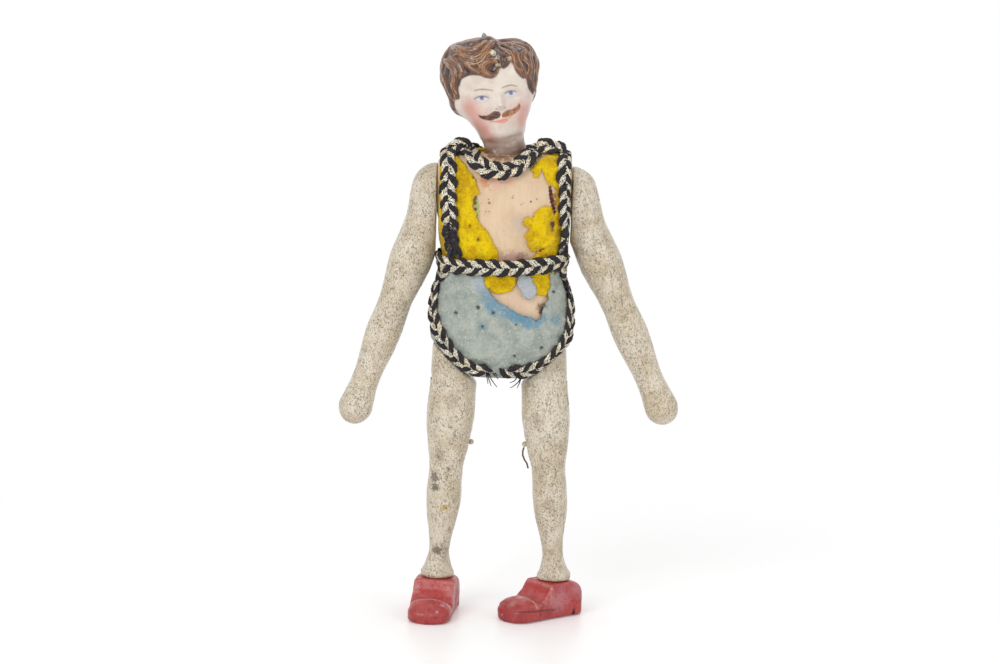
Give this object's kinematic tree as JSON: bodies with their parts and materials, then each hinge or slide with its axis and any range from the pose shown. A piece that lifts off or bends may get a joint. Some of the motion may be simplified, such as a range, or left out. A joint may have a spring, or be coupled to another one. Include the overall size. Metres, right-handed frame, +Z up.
{
  "type": "jointed circus figure toy",
  "caption": "Old toy circus performer with a bisque head on a strung wooden body, whose head, arms, legs and shoes turn, in worn felt and braid.",
  "frame": {"origin": "middle of the figure's bounding box in plan, on the floor under its soles", "axes": "+Z up from the soles to the crown, -Y the way the figure faces, +X its left side"},
  "size_m": [0.1188, 0.0393, 0.2031],
  "materials": {
    "flesh_wood": "satin",
    "bisque": "satin",
    "pin_metal": "satin",
    "limb_paint": "gloss",
    "plug_wood": "satin",
    "shoe_paint": "satin",
    "elastic": "matte",
    "ankle_thread": "matte",
    "yellow_felt": "matte",
    "blue_felt": "matte",
    "braid": "satin",
    "black_thread": "matte"
  },
  "bodies": {
    "torso": {"torso": "flesh_wood", "neck_cord_lower": "elastic", "shoulder_cord": "elastic", "hip_cord": "elastic", "vest_front": "yellow_felt", "vest_back": "yellow_felt", "trunks_front": "blue_felt", "trunks_back": "blue_felt", "neck_braid": "braid", "waist_braid": "braid", "right_armhole_braid": "braid", "left_armhole_braid": "braid", "right_leg_braid": "braid", "left_leg_braid": "braid", "armhole_thread_knot": "black_thread"},
    "neck_link": {"neck_cord_middle": "elastic"},
    "neck_line": {"neck_cord_upper": "elastic", "crown_pin": "pin_metal"},
    "head": {"head": "bisque"},
    "right_arm": {"right_arm": "limb_paint", "right_arm_plug": "plug_wood"},
    "right_leg": {"right_leg": "limb_paint", "right_leg_plug": "plug_wood", "right_ankle_cord": "ankle_thread"},
    "right_shoe": {"right_shoe": "shoe_paint", "right_sole_plug": "plug_wood"},
    "left_arm": {"left_arm": "limb_paint", "left_arm_plug": "plug_wood"},
    "left_leg": {"left_leg": "limb_paint", "left_leg_plug": "plug_wood", "left_ankle_cord": "ankle_thread", "knee_thread": "ankle_thread"},
    "left_shoe": {"left_shoe": "shoe_paint", "left_sole_plug": "plug_wood"}
  },
  "joints": [
    {"name": "neck_nod", "type": "hinge", "parent": "torso", "child": "neck_link", "pos_m": [-0.00363, 0.00247, 0.1626], "axis": [1, 0, 0], "range_deg": [-12, 12]},
    {"name": "neck_tilt", "type": "hinge", "parent": "neck_link", "child": "neck_line", "pos_m": [-0.00363, 0.00247, 0.1626], "axis": [0, 1, 0], "range_deg": [-5, 29]},
    {"name": "head_turn", "type": "hinge", "parent": "neck_line", "child": "head", "pos_m": [-0.00363, 0.00247, 0.1626], "axis": [-0.213, 0, 0.977], "continuous": true},
    {"name": "right_shoulder", "type": "hinge", "parent": "torso", "child": "right_arm", "pos_m": [-0.02673, 0.00247, 0.1492], "axis": [1, 0, 0], "continuous": true},
    {"name": "right_hip", "type": "hinge", "parent": "torso", "child": "right_leg", "pos_m": [-0.01903, 0.00247, 0.0891], "axis": [-0.6691, 0, -0.7431], "range_deg": [-90, 90]},
    {"name": "right_ankle", "type": "hinge", "parent": "right_leg", "child": "right_shoe", "pos_m": [-0.02331, 0.00247, 0.0125], "axis": [0, 0, 1], "range_deg": [-83, 97]},
    {"name": "left_shoulder", "type": "hinge", "parent": "torso", "child": "left_arm", "pos_m": [0.01947, 0.00247, 0.1492], "axis": [1, 0, 0], "continuous": true},
    {"name": "left_hip", "type": "hinge", "parent": "torso", "child": "left_leg", "pos_m": [0.01177, 0.00247, 0.0891], "axis": [0.6691, 0, -0.7431], "range_deg": [-90, 90]},
    {"name": "left_ankle", "type": "hinge", "parent": "left_leg", "child": "left_shoe", "pos_m": [0.01794, 0.00247, 0.0125], "axis": [0, 0, 1], "range_deg": [-40, 140]}
  ]
}
